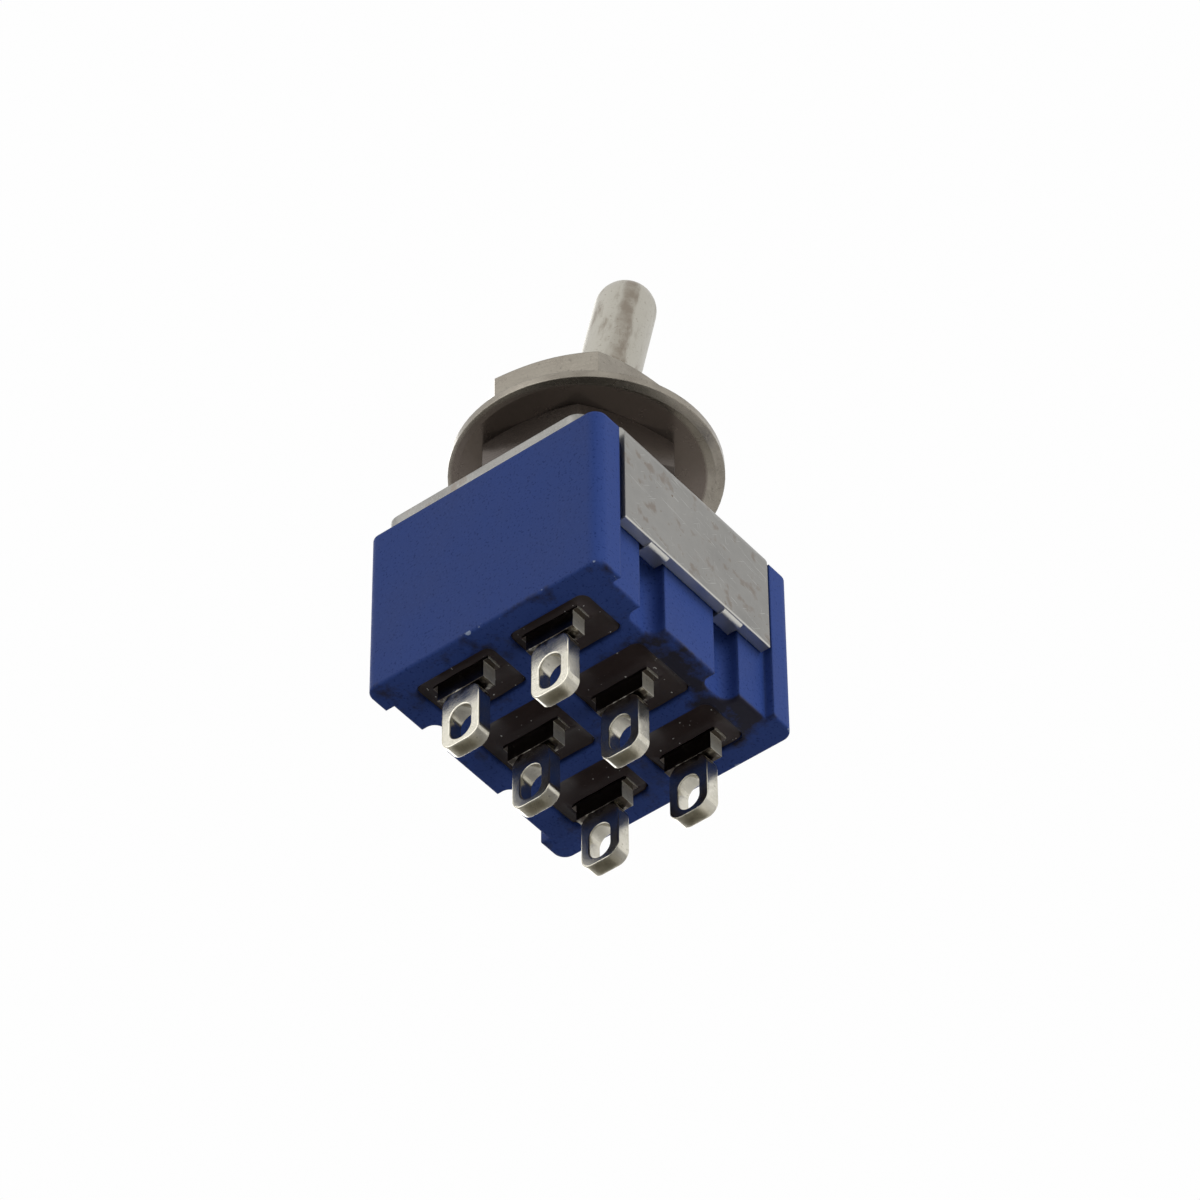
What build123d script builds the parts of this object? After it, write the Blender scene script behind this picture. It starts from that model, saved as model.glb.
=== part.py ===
from build123d import *

import os
from math import cos, radians, sin, sqrt, tan

os.makedirs("parts", exist_ok=True)

# A miniature double-pole double-throw toggle switch, in millimetres and degrees.
# X is the way the lever is thrown, Y runs across the two poles, Z points up the bushing.
# The origin is on the bushing's axis, in the plane of the six lug tips.

# Terminals
terminal_pitch = 4.7        # between the three terminals of one pole, along X
row_spacing = 4.8           # between the two poles, along Y
terminal_thickness = 0.78
lug_length = 4.0            # from the lug tips to the bottom of the base
lug_width = 2.04
stem_width = 2.5
root_width = 3.0
head_width = 2.4
lower_shoulder = 0.9        # below the base, where the stem narrows to the lug
upper_shoulder = 0.0        # below the base, where the root narrows to the stem
lug_corner = 0.6
lug_edge = 0.06             # rounding along the edges of the lugs and their eyes
eye_width = 1.12
eye_length = 1.85
eye_margin = 0.3            # metal left between the eye and the lug tip

# Moulded base
terminal_end_margin = 2.05  # from the middle of an outer terminal to the end of the base
body_width = 12.7
body_height = 9.2
body_corner = 0.6
body_edge = 0.12            # rounding along the bottom edges, outside and at the pockets
end_wall = 1.2
side_wall = 1.3             # behind the recessed side panels
post_width = 1.5            # corner posts beside the recessed panels
panel_recess = 0.45
panel_bevel = 0.3           # along the panels' top edges, to clear the frame's bends
floor_thickness = 0.8
pocket_depth = 1.0
pocket_corner = 0.4
pocket_rib = 0.95           # between the potting pockets, both ways
potting_recess = 0.35
barrier_thickness = 0.8     # insulating wall between the two poles
barrier_height = 2.4
groove_spacing = 5.1        # between the two grooves of one side
groove_width = 1.7
groove_depth = 0.8
groove_corner = 0.5

# Steel frame
frame_thickness = 0.5
frame_bend = 0.75           # outer radius where a leg turns down
leg_side_gap = 0.25         # between a leg and the corner posts beside it
leg_length = 5.35           # below the top of the base
leg_stand_off = 0.05        # between a leg and the panel behind it
plate_end_width = 11.0      # of the plate's two ends, beyond the legs
plate_end_corner = 0.8
tab_width = 1.25
tab_reach = 0.9             # inwards from the outer face of the leg
tab_droop = 0.1
tab_bend = 0.3              # outer radius where a tab turns in

# Bushing, nuts and washers
thread_diameter = 6.0
bushing_height = 8.85       # above the frame
bushing_chamfer = 0.25
flange_diameter = 8.8
flange_thickness = 0.6      # clamped under the frame
keyway_width = 0.9
keyway_depth = 0.3
nut_across_flats = 8.4
nut_height = 2.25
nut_chamfer_angle = 30.0
lower_nut_turn = 38.0       # of the hexagons about the bushing
upper_nut_turn = 49.0
lower_nut_rise = 2.55       # above the frame
thread_clearance = 0.02
washer_diameter = 12.25
washer_thickness = 0.5
washer_play = 0.4           # between the thread and the washer's bore
washer_shift_x = 0.3        # the loose washer lies a little off the bushing's axis
washer_shift_y = -0.2
washer_roll = 0.4           # width of the rolled rim of its underside
washer_roll_depth = 0.12
key_clearance = 0.1         # round the washer's key, and at the lock washer's teeth
lock_washer_diameter = 9.2
lock_washer_thickness = 0.7
lock_washer_rim = 0.85
lock_tooth_count = 10
lock_tooth_width = 0.8

# Lever and the parts that it carries
throw_angle = 13.5          # the lever's lean each side of upright
pivot_rise = 4.1            # of the ball's centre above the frame
ball_radius = 2.0
bearing_clearance = 0.05
lever_reach = 16.55         # from the ball's centre to the tip
bat_radius = 1.45
bat_length = 6.0            # of the bat's straight end, with its dome
waist_radius = 1.25
neck_radius = 1.15
lever_clearance = 0.1
stem_radius = 0.9
stem_seat = 0.8             # carrier left below the stem's lower end
ear_radius = 0.45
ear_reach = 2.45
carrier_length = 4.0        # actuator block, along X
carrier_top_length = 3.0
carrier_wall = 0.4          # beyond the wells, at each side
carrier_roof = 0.65         # above the wells
carrier_clearance = 0.18    # under the bushing at each end of the throw
plunger_radius = 0.95
plunger_wall = 0.3
plunger_clearance = 0.05
plunger_drop = 0.75         # of a plunger's tip below the actuator block
plunger_stroke = 1.0        # left above a plunger in its well
plunger_gap = 0.105         # over the rocker when the lever stands upright
spring_radius = 0.48        # to the middle of the wire
spring_wire = 0.16
spring_turns = 5

# Rocking contacts
rocker_angle = 7.0          # of each wing, and of the rocker's tilt each way
rocker_overhang = 1.35      # past the middle of each contact
rocker_width = 2.4
rocker_thickness = 0.45
rocker_knee = 0.35          # from the fulcrum's axis to the underside of a wing
rocker_boss = 0.9           # half the length of the boss that holds the fulcrum groove
fulcrum_clearance = 0.05
contact_gap = 0.03
contact_inset = 0.85        # of the contacts from the middle of the outer terminals
contact_diameter = 1.7
contact_shank = 0.5
fixed_contact_height = 0.25
moving_contact_height = 0.3
contact_tail = 0.15
contact_tail_diameter = 0.8
contact_shelf_rise = 1.1    # of the bent terminal heads above the floor
contact_shelf_reach = 1.0   # of a bent head past the middle of its contact

# Levels and places that follow from the dimensions above
body_length = 2 * (terminal_pitch + terminal_end_margin)
leg_width = body_length - 2 * (post_width + leg_side_gap)
contact_offset = terminal_pitch - contact_inset
rocker_half_length = contact_offset + rocker_overhang
carrier_width = row_spacing + 2 * (plunger_radius + plunger_clearance + carrier_wall)
base_bottom = lug_length
base_top = base_bottom + body_height
frame_top = base_top + frame_thickness
bushing_top = frame_top + bushing_height
pocket_roof = base_bottom + pocket_depth
floor_top = pocket_roof + floor_thickness
panel_y = body_width / 2 - panel_recess
leg_inner = panel_y + leg_stand_off
leg_outer = leg_inner + frame_thickness
leg_bottom = base_top - leg_length
groove_top = leg_bottom - tab_droop + frame_thickness
cavity_length = body_length - 2 * end_wall
cavity_width = 2 * (panel_y - side_wall)
thread_radius = thread_diameter / 2
pivot_z = frame_top + pivot_rise
row_y = row_spacing / 2
contact_shelf = floor_top + contact_shelf_rise
fulcrum_z = contact_shelf + fixed_contact_height + contact_gap + moving_contact_height - rocker_knee
lower_nut_bottom = frame_top + lower_nut_rise
washer_bottom = lower_nut_bottom + nut_height
lock_washer_bottom = washer_bottom + washer_thickness
upper_nut_bottom = lock_washer_bottom + lock_washer_thickness
socket_radius = ball_radius + bearing_clearance

bushing_bottom = base_top - flange_thickness

# Reaches from the ball's centre, down the lever's axis
lean = radians(throw_angle)
wing_top = rocker_knee + rocker_thickness
plunger_centre = pivot_z - fulcrum_z - (plunger_gap + wing_top + plunger_radius) / cos(radians(rocker_angle))
plunger_reach = plunger_centre + plunger_radius
carrier_bottom = plunger_reach - plunger_drop
carrier_top = (pivot_z - bushing_bottom + carrier_top_length / 2 * sin(lean) + carrier_clearance) / cos(lean)
spring_well_top = carrier_top + carrier_roof
plunger_height = plunger_reach - spring_well_top - plunger_stroke
stem_reach = carrier_bottom - stem_seat

# Planes that lean with the lever and with the rockers in the resting throw
lever_plane = Plane(origin=(0, 0, pivot_z), x_dir=(cos(lean), 0, -sin(lean)), z_dir=(sin(lean), 0, cos(lean)))
lever_section = Plane(origin=(0, 0, pivot_z), x_dir=(cos(lean), 0, -sin(lean)), z_dir=(0, -1, 0))
lever_axis = Axis(origin=(0, 0, pivot_z), direction=(sin(lean), 0, cos(lean)))


def finish(builder, name):
    """Label a finished piece and write its STEP file."""
    builder.part.label = name
    export_step(builder.part, f"parts/{name}.step")


def pocket_cells():
    """Centre and size of each potting pocket, seen from above."""
    middle_half = (terminal_pitch - pocket_rib) / 2
    end_inner = middle_half + pocket_rib
    end_outer = cavity_length / 2
    side_inner = pocket_rib / 2
    side_outer = cavity_width / 2
    columns = [
        (-(end_inner + end_outer) / 2, end_outer - end_inner),
        (0, 2 * middle_half),
        ((end_inner + end_outer) / 2, end_outer - end_inner),
    ]
    rows = [
        (-(side_inner + side_outer) / 2, side_outer - side_inner),
        ((side_inner + side_outer) / 2, side_outer - side_inner),
    ]
    return [(x, y, length, width) for y, width in rows for x, length in columns]


def make_base_housing():
    """Open-topped moulding with corner posts, side grooves and six potting pockets."""
    with BuildPart() as base:
        with BuildSketch(Plane.XY.offset(base_bottom)):
            RectangleRounded(body_length, body_width, body_corner)
            with Locations((0, -body_width / 2), (0, body_width / 2)):
                Rectangle(body_length - 2 * post_width, 2 * panel_recess, mode=Mode.SUBTRACT)
        extrude(amount=body_height)
        with BuildSketch(Plane.XY.offset(floor_top)):
            RectangleRounded(cavity_length, cavity_width, pocket_corner)
        extrude(amount=base_top - floor_top, mode=Mode.SUBTRACT)
        with BuildSketch(Plane.XY.offset(floor_top)):
            Rectangle(cavity_length, barrier_thickness)
        extrude(amount=barrier_height)
        with BuildSketch(Plane.XY.offset(base_bottom)):
            for x, y, length, width in pocket_cells():
                with Locations((x, y)):
                    RectangleRounded(length, width, pocket_corner)
        extrude(amount=pocket_depth, mode=Mode.SUBTRACT)
        with BuildSketch(Plane.XY.offset(pocket_roof)):
            with GridLocations(terminal_pitch, row_spacing, 3, 2):
                Rectangle(terminal_thickness, root_width)
        extrude(amount=floor_thickness, mode=Mode.SUBTRACT)
        with BuildSketch(Plane.XY.offset(base_bottom)):
            with GridLocations(groove_spacing, 2 * panel_y, 2, 2):
                RectangleRounded(groove_width, 2 * groove_depth, groove_corner)
        extrude(amount=groove_top - base_bottom, mode=Mode.SUBTRACT)
        with BuildSketch(Plane.YZ):
            with Locations((panel_y, base_top), (-panel_y, base_top)):
                Rectangle(panel_bevel * sqrt(2), panel_bevel * sqrt(2), rotation=45)
        extrude(amount=body_length / 2 - post_width, both=True, mode=Mode.SUBTRACT)
        fillet(base.edges().group_by(Axis.Z)[0], body_edge)
    finish(base, "base_housing")


def make_frame_bracket():
    """Folded steel saddle: a top plate, two legs and four tabs bent in under the base's shoulders."""
    inner_bend = frame_bend - frame_thickness
    with BuildPart() as frame:
        with BuildSketch(Plane.YZ):
            with BuildLine():
                outside = FilletPolyline(
                    (-leg_outer, leg_bottom), (-leg_outer, frame_top),
                    (leg_outer, frame_top), (leg_outer, leg_bottom), radius=frame_bend,
                )
                inside = FilletPolyline(
                    (leg_inner, leg_bottom), (leg_inner, base_top),
                    (-leg_inner, base_top), (-leg_inner, leg_bottom), radius=inner_bend,
                )
                Line(outside @ 1, inside @ 0)
                Line(inside @ 1, outside @ 0)
            make_face()
        extrude(amount=leg_width / 2, both=True)
        with BuildSketch(Plane.XY.offset(base_top)):
            RectangleRounded(body_length, plate_end_width, plate_end_corner)
        extrude(amount=frame_thickness)
        for x in (-groove_spacing / 2, groove_spacing / 2):
            with BuildSketch(Plane.YZ.offset(x)):
                with BuildLine():
                    bend = FilletPolyline(
                        (leg_outer, leg_bottom + frame_thickness), (leg_outer, leg_bottom - tab_droop),
                        (leg_outer - tab_reach, leg_bottom - tab_droop), radius=tab_bend,
                    )
                    Polyline(
                        bend @ 1, (leg_outer - tab_reach, groove_top), (leg_inner, groove_top), bend @ 0,
                    )
                make_face()
            extrude(amount=tab_width / 2, both=True)
        mirror(about=Plane.XZ)
        with BuildSketch(Plane.XY.offset(base_top)):
            Circle(thread_radius)
        extrude(amount=frame_thickness, mode=Mode.SUBTRACT)
    finish(frame, "frame_bracket")


def make_threaded_bushing():
    """Turned bushing with a flange, a ball socket, ear slots and a conical mouth."""
    mouth_slope = tan(lean)
    cone_start = neck_radius / cos(lean) + lever_clearance
    # Height above the pivot where the socket's sphere meets the cone that the neck sweeps.
    a = 1 + mouth_slope ** 2
    b = cone_start * mouth_slope
    rim_rise = (-b + sqrt(b ** 2 - a * (cone_start ** 2 - socket_radius ** 2))) / a
    rim_radius = cone_start + rim_rise * mouth_slope
    mouth_radius = waist_radius / cos(lean) + (bushing_top - pivot_z) * mouth_slope + lever_clearance
    skirt_radius = stem_radius / cos(lean) + (pivot_z - bushing_bottom) * mouth_slope + lever_clearance
    top_chamfer = min(bushing_chamfer, (thread_radius - mouth_radius) / 2)
    with BuildPart() as bushing:
        with BuildSketch(Plane.XZ):
            with BuildLine():
                Polyline(
                    (rim_radius, pivot_z + rim_rise), (mouth_radius, bushing_top),
                    (thread_radius - top_chamfer, bushing_top),
                    (thread_radius, bushing_top - top_chamfer),
                    (thread_radius, base_top), (flange_diameter / 2, base_top),
                    (flange_diameter / 2, bushing_bottom), (skirt_radius, bushing_bottom),
                    (socket_radius, pivot_z - ball_radius), (socket_radius, pivot_z),
                )
                RadiusArc((socket_radius, pivot_z), (rim_radius, pivot_z + rim_rise), -socket_radius)
            make_face()
        revolve(axis=Axis.Z)
        slot_radius = ear_radius + bearing_clearance
        slot_reach = ear_reach + bearing_clearance
        with BuildSketch(Plane.XZ):
            with Locations((0, pivot_z)):
                Circle(slot_radius)
            with Locations((0, (pivot_z + bushing_bottom) / 2)):
                Rectangle(2 * slot_radius, pivot_z - bushing_bottom)
        extrude(amount=slot_reach, both=True, mode=Mode.SUBTRACT)
        with BuildSketch(Plane.XY.offset(frame_top)):
            with Locations((-thread_radius, 0)):
                Rectangle(2 * keyway_depth, keyway_width)
        extrude(amount=bushing_height, mode=Mode.SUBTRACT)
    finish(bushing, "threaded_bushing")


def make_toggle_lever():
    """Bat lever with its ball, two trunnion ears and the stem that carries the actuator block."""
    neck_rise = sqrt(ball_radius ** 2 - neck_radius ** 2)
    stem_drop = -sqrt(ball_radius ** 2 - stem_radius ** 2)
    exit_rise = bushing_top - pivot_z
    with BuildPart() as lever:
        with BuildSketch(lever_section):
            with BuildLine():
                Polyline(
                    (0, -stem_reach), (stem_radius, -stem_reach), (stem_radius, stem_drop),
                )
                ThreePointArc((stem_radius, stem_drop), (ball_radius, 0), (neck_radius, neck_rise))
                Polyline(
                    (neck_radius, neck_rise), (waist_radius, exit_rise),
                    (bat_radius, lever_reach - bat_length), (bat_radius, lever_reach - bat_radius),
                )
                RadiusArc((bat_radius, lever_reach - bat_radius), (0, lever_reach), -bat_radius)
                Line((0, lever_reach), (0, -stem_reach))
            make_face()
        revolve(axis=lever_axis)
        with BuildSketch(lever_section):
            Circle(ear_radius)
        extrude(amount=ear_reach, both=True)
    finish(lever, "toggle_lever")


def make_actuator_block():
    """Nylon block pressed on the lever's stem, with a blind well for each spring and plunger."""
    with BuildPart() as block:
        with BuildSketch(lever_section):
            with BuildLine():
                half_top = carrier_top_length / 2
                half_bottom = carrier_length / 2
                shoulder = carrier_top + (half_bottom - half_top)
                Polyline(
                    (-half_top, -carrier_top), (half_top, -carrier_top), (half_bottom, -shoulder),
                    (half_bottom, -carrier_bottom), (-half_bottom, -carrier_bottom),
                    (-half_bottom, -shoulder), close=True,
                )
            make_face()
        extrude(amount=carrier_width / 2, both=True)
        with BuildSketch(lever_plane.offset(-carrier_bottom)):
            with Locations((0, -row_y), (0, row_y)):
                Circle(plunger_radius + plunger_clearance)
        extrude(amount=carrier_bottom - spring_well_top, mode=Mode.SUBTRACT)
        with BuildSketch(lever_plane.offset(-stem_reach)):
            Circle(stem_radius)
        extrude(amount=stem_reach - carrier_top, mode=Mode.SUBTRACT)
    finish(block, "actuator_block")


def make_plunger(name, y):
    """Cup-shaped plunger with a domed tip that rides on a rocker."""
    with BuildPart() as plunger:
        with BuildSketch(lever_section.offset(-y)):
            with BuildLine():
                RadiusArc((0, -plunger_reach), (plunger_radius, plunger_radius - plunger_reach), -plunger_radius)
                Polyline(
                    (plunger_radius, plunger_radius - plunger_reach),
                    (plunger_radius, plunger_height - plunger_reach),
                    (plunger_radius - plunger_wall, plunger_height - plunger_reach),
                    (plunger_radius - plunger_wall, plunger_radius - plunger_reach),
                    (0, plunger_radius - plunger_reach), (0, -plunger_reach),
                )
            make_face()
        revolve(axis=Axis(origin=(0, y, pivot_z), direction=(sin(lean), 0, cos(lean))))
    finish(plunger, name)


def make_spring(name, y):
    """Compression spring between the roof of a well and the floor of its plunger's cup."""
    coil_bottom = plunger_radius - plunger_reach + spring_wire / 2
    coil_top = -spring_well_top - spring_wire / 2
    coil_height = coil_top - coil_bottom
    with BuildPart() as spring:
        with BuildLine() as coil:
            Helix(
                pitch=coil_height / spring_turns, height=coil_height, radius=spring_radius,
                center=lever_plane.from_local_coords(Vector(0, y, coil_bottom)), direction=lever_plane.z_dir,
            )
        with BuildSketch(Plane(origin=coil.line @ 0, z_dir=coil.line % 0)):
            Circle(spring_wire / 2)
        sweep(is_frenet=True)
    finish(spring, name)


def rocker_section(y):
    """Plane across a rocker at its fulcrum, tilted so that the wing towards -X lies level."""
    tilt = radians(rocker_angle)
    return Plane(origin=(0, y, fulcrum_z), x_dir=(cos(tilt), 0, sin(tilt)), z_dir=(0, -1, 0))


def make_rocker(name, y):
    """Two-winged rocking contact with a boss grooved to sit on the common terminal's edge."""
    slope = radians(rocker_angle)
    low = rocker_knee / cos(slope)
    high = (rocker_knee + rocker_thickness) / cos(slope)
    rise = rocker_half_length * tan(slope)
    with BuildPart() as rocker:
        with BuildSketch(rocker_section(y)):
            with BuildLine():
                Polyline(
                    (0, low), (rocker_half_length, low + rise), (rocker_half_length, high + rise),
                    (0, high), (-rocker_half_length, high + rise), (-rocker_half_length, low + rise),
                    close=True,
                )
            make_face()
            with Locations((0, low / 2 + rocker_thickness / 4)):
                Rectangle(2 * rocker_boss, low + rocker_thickness / 2)
            Circle(terminal_thickness / 2 + fulcrum_clearance, mode=Mode.SUBTRACT)
        extrude(amount=rocker_width / 2, both=True)
        for side in (-1, 1):
            with BuildSketch(wing_plane(y, side)):
                Circle(contact_shank / 2)
            extrude(amount=rocker_thickness, mode=Mode.SUBTRACT)
    finish(rocker, name)


def wing_plane(y, side):
    """Plane on the underside of a wing at its contact, facing up through the wing."""
    tilt = radians(rocker_angle)
    wing = tilt + side * tilt
    along = Vector(cos(wing), 0, sin(wing))
    up = Vector(-sin(wing), 0, cos(wing))
    origin = Vector(0, y, fulcrum_z) + along * (side * contact_offset) + up * rocker_knee
    return Plane(origin=origin, x_dir=along, z_dir=up)


def make_moving_contact(name, y, side):
    """Silver rivet through the end of a rocker's wing."""
    plane = wing_plane(y, side)
    with BuildPart() as rivet:
        with BuildSketch(plane.offset(-moving_contact_height)):
            Circle(contact_diameter / 2)
        extrude(amount=moving_contact_height)
        fillet(rivet.edges().group_by(Axis(plane.origin, plane.z_dir))[0], fixed_contact_height / 2)
        with BuildSketch(plane):
            Circle(contact_shank / 2)
        extrude(amount=rocker_thickness)
        with BuildSketch(plane.offset(rocker_thickness)):
            Circle(contact_tail_diameter / 2)
        extrude(amount=contact_tail)
    finish(rivet, name)


def make_fixed_contact(name, y, side):
    """Silver rivet through the bent head of a throw terminal."""
    x = side * contact_offset
    with BuildPart() as rivet:
        with BuildSketch(Plane.XY.offset(contact_shelf)):
            with Locations((x, y)):
                Circle(contact_diameter / 2)
        extrude(amount=fixed_contact_height)
        fillet(rivet.edges().group_by(Axis.Z)[-1], fixed_contact_height / 2)
        with BuildSketch(Plane.XY.offset(contact_shelf)):
            with Locations((x, y)):
                Circle(contact_shank / 2)
        extrude(amount=-terminal_thickness)
        with BuildSketch(Plane.XY.offset(contact_shelf - terminal_thickness)):
            with Locations((x, y)):
                Circle(contact_tail_diameter / 2)
        extrude(amount=-contact_tail)
    finish(rivet, name)


def lug_outline(x, y):
    """Outline of one terminal's eyed lug."""
    lug_top = base_bottom - lower_shoulder
    with BuildSketch(Plane.YZ.offset(x)) as lug:
        with Locations((y, lug_top / 2)):
            Rectangle(lug_width, lug_top)
        fillet(lug.vertices().group_by(Axis.Z)[0], lug_corner)
        with Locations((y, eye_margin + eye_length / 2)):
            SlotOverall(eye_length, eye_width, rotation=90, mode=Mode.SUBTRACT)
    return lug.sketch


def lug_edges(terminal):
    """Edges round the two faces of a lug, all but the ones under the stem."""
    faces = terminal.faces().filter_by(Axis.X)
    return faces.edges().filter_by(lambda edge: edge.bounding_box().min.Z < base_bottom - lower_shoulder - lug_edge)


def blade_outline(x, y, head_top):
    """Outline of one terminal's flat blade above its lug: stepped stem, wide root and narrower head."""
    lug_top = base_bottom - lower_shoulder
    stem_top = base_bottom - upper_shoulder
    with BuildSketch(Plane.YZ.offset(x)) as blade:
        with Locations((y, (lug_top + stem_top) / 2)):
            Rectangle(stem_width, stem_top - lug_top)
        with Locations((y, (stem_top + floor_top) / 2)):
            Rectangle(root_width, floor_top - stem_top)
        with Locations((y, (floor_top + head_top) / 2)):
            Rectangle(head_width, head_top - floor_top)
    return blade.sketch


def make_common_terminal(name, y):
    """Middle terminal of a pole, whose rounded upper edge is the rocker's fulcrum."""
    with BuildPart() as terminal:
        extrude(lug_outline(0, y), amount=terminal_thickness / 2, both=True)
        fillet(lug_edges(terminal), lug_edge)
        extrude(blade_outline(0, y, fulcrum_z), amount=terminal_thickness / 2, both=True)
        with BuildSketch(Plane.XZ.offset(-y)):
            with Locations((0, fulcrum_z)):
                Circle(terminal_thickness / 2)
        extrude(amount=head_width / 2, both=True)
    finish(terminal, name)


def make_throw_terminal(name, y, side):
    """Outer terminal of a pole, whose head is bent over to carry a fixed contact."""
    x = side * terminal_pitch
    outer = x + side * terminal_thickness / 2
    inner = x - side * terminal_thickness / 2
    end = side * (contact_offset - contact_shelf_reach)
    shelf_bottom = contact_shelf - terminal_thickness
    with BuildPart() as terminal:
        extrude(lug_outline(x, y), amount=terminal_thickness / 2, both=True)
        fillet(lug_edges(terminal), lug_edge)
        extrude(blade_outline(x, y, shelf_bottom), amount=terminal_thickness / 2, both=True)
        with BuildSketch(Plane.XZ.offset(-y)):
            with BuildLine():
                top = FilletPolyline(
                    (outer, floor_top), (outer, contact_shelf), (end, contact_shelf),
                    radius=terminal_thickness,
                )
                Polyline(top @ 1, (end, shelf_bottom), (inner, shelf_bottom), (inner, floor_top), top @ 0)
            make_face()
        extrude(amount=head_width / 2, both=True)
        with BuildSketch(Plane.XY.offset(shelf_bottom)):
            with Locations((side * contact_offset, y)):
                Circle(contact_shank / 2)
        extrude(amount=terminal_thickness, mode=Mode.SUBTRACT)
    finish(terminal, name)


def make_potting():
    """Six slugs of potting resin, each poured round a terminal's root."""
    with BuildPart() as potting:
        with BuildSketch(Plane.XY.offset(base_bottom + potting_recess)):
            for x, y, length, width in pocket_cells():
                with Locations((x, y)):
                    RectangleRounded(length, width, pocket_corner)
            with GridLocations(terminal_pitch, row_spacing, 3, 2):
                Rectangle(terminal_thickness, root_width, mode=Mode.SUBTRACT)
        extrude(amount=pocket_depth - potting_recess)
    finish(potting, "potting_resin")


def make_nut(name, bottom, turn):
    """Hexagon nut, chamfered at both faces."""
    flat_radius = nut_across_flats / 2
    corner_radius = flat_radius / cos(radians(30))
    drop = (corner_radius - flat_radius) * tan(radians(nut_chamfer_angle))
    with BuildPart() as nut:
        with BuildSketch(Plane.XY.offset(bottom)):
            RegularPolygon(radius=corner_radius, side_count=6, rotation=turn)
            Circle(thread_radius + thread_clearance, mode=Mode.SUBTRACT)
        extrude(amount=nut_height)
        with BuildSketch(Plane.XZ):
            with BuildLine():
                Polyline(
                    (0, bottom), (flat_radius, bottom), (corner_radius, bottom + drop),
                    (corner_radius, bottom + nut_height - drop), (flat_radius, bottom + nut_height),
                    (0, bottom + nut_height), close=True,
                )
            make_face()
        revolve(axis=Axis.Z, mode=Mode.INTERSECT)
    finish(nut, name)


def make_keyed_washer():
    """Pressed washer with a rolled rim and a key that runs in the bushing's keyway."""
    outer = washer_diameter / 2
    bore = thread_radius + washer_play
    washer_top = washer_bottom + washer_thickness
    key_tip = thread_radius - keyway_depth + key_clearance
    key_root = bore - washer_shift_x + key_clearance
    with BuildPart() as washer:
        with BuildSketch(Plane.XZ.offset(-washer_shift_y)):
            with BuildLine():
                Polyline(
                    (washer_shift_x + bore, washer_bottom),
                    (washer_shift_x + outer - washer_roll, washer_bottom),
                    (washer_shift_x + outer, washer_bottom + washer_roll_depth),
                    (washer_shift_x + outer, washer_top),
                    (washer_shift_x + bore, washer_top), close=True,
                )
            make_face()
        revolve(axis=Axis(origin=(washer_shift_x, washer_shift_y, 0), direction=(0, 0, 1)))
        with BuildSketch(Plane.XY.offset(washer_bottom)):
            with Locations((-(key_tip + key_root) / 2, 0)):
                Rectangle(key_root - key_tip, keyway_width - 2 * key_clearance)
        extrude(amount=washer_thickness)
    finish(washer, "keyed_washer")


def make_lock_washer():
    """Internal-tooth lock washer: a rim with teeth that point at the thread."""
    outer = lock_washer_diameter / 2
    tooth_tip = thread_radius + key_clearance
    tooth_length = outer - lock_washer_rim / 2 - tooth_tip
    with BuildPart() as washer:
        with BuildSketch(Plane.XY.offset(lock_washer_bottom)):
            Circle(outer)
            Circle(outer - lock_washer_rim, mode=Mode.SUBTRACT)
            with PolarLocations(tooth_tip + tooth_length / 2, lock_tooth_count):
                Rectangle(tooth_length, lock_tooth_width)
            Circle(tooth_tip, mode=Mode.SUBTRACT)
        extrude(amount=lock_washer_thickness)
    finish(washer, "lock_washer")


make_base_housing()
make_frame_bracket()
make_threaded_bushing()
make_toggle_lever()
make_actuator_block()
make_nut("lower_nut", lower_nut_bottom, lower_nut_turn)
make_keyed_washer()
make_lock_washer()
make_nut("upper_nut", upper_nut_bottom, upper_nut_turn)
make_potting()
for pole, y in (("front", -row_y), ("rear", row_y)):
    make_plunger(f"{pole}_plunger", y)
    make_spring(f"{pole}_plunger_spring", y)
    make_rocker(f"{pole}_rocker", y)
    make_common_terminal(f"{pole}_common_terminal", y)
    for end, side in (("left", -1), ("right", 1)):
        make_throw_terminal(f"{pole}_{end}_terminal", y, side)
        make_fixed_contact(f"{pole}_{end}_fixed_contact", y, side)
        make_moving_contact(f"{pole}_{end}_moving_contact", y, side)
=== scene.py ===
import math

import bpy
from mathutils import Matrix, Vector, noise


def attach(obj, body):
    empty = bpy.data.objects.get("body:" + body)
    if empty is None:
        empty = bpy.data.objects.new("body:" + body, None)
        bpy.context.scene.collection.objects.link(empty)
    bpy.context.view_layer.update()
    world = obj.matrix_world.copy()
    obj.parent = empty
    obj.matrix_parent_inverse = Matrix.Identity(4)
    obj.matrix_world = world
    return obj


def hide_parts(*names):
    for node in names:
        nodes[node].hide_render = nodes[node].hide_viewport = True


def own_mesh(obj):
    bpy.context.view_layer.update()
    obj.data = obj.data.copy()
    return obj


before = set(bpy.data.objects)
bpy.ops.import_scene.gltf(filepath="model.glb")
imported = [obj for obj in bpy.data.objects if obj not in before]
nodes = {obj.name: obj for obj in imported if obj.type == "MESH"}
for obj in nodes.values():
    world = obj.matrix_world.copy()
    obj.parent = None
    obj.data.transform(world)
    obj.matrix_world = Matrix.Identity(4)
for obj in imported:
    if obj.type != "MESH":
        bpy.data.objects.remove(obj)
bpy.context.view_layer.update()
mm = 0.001
print("loaded", len(nodes), "pieces")


def newMaterial(name):
    material = bpy.data.materials.new(name)
    material.use_nodes = True
    return material, material.node_tree, material.node_tree.nodes["Principled BSDF"]


def objectPoint(tree):  # a piece's own coordinates, in metres
    return tree.nodes.new("ShaderNodeTexCoord").outputs["Object"]


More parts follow.
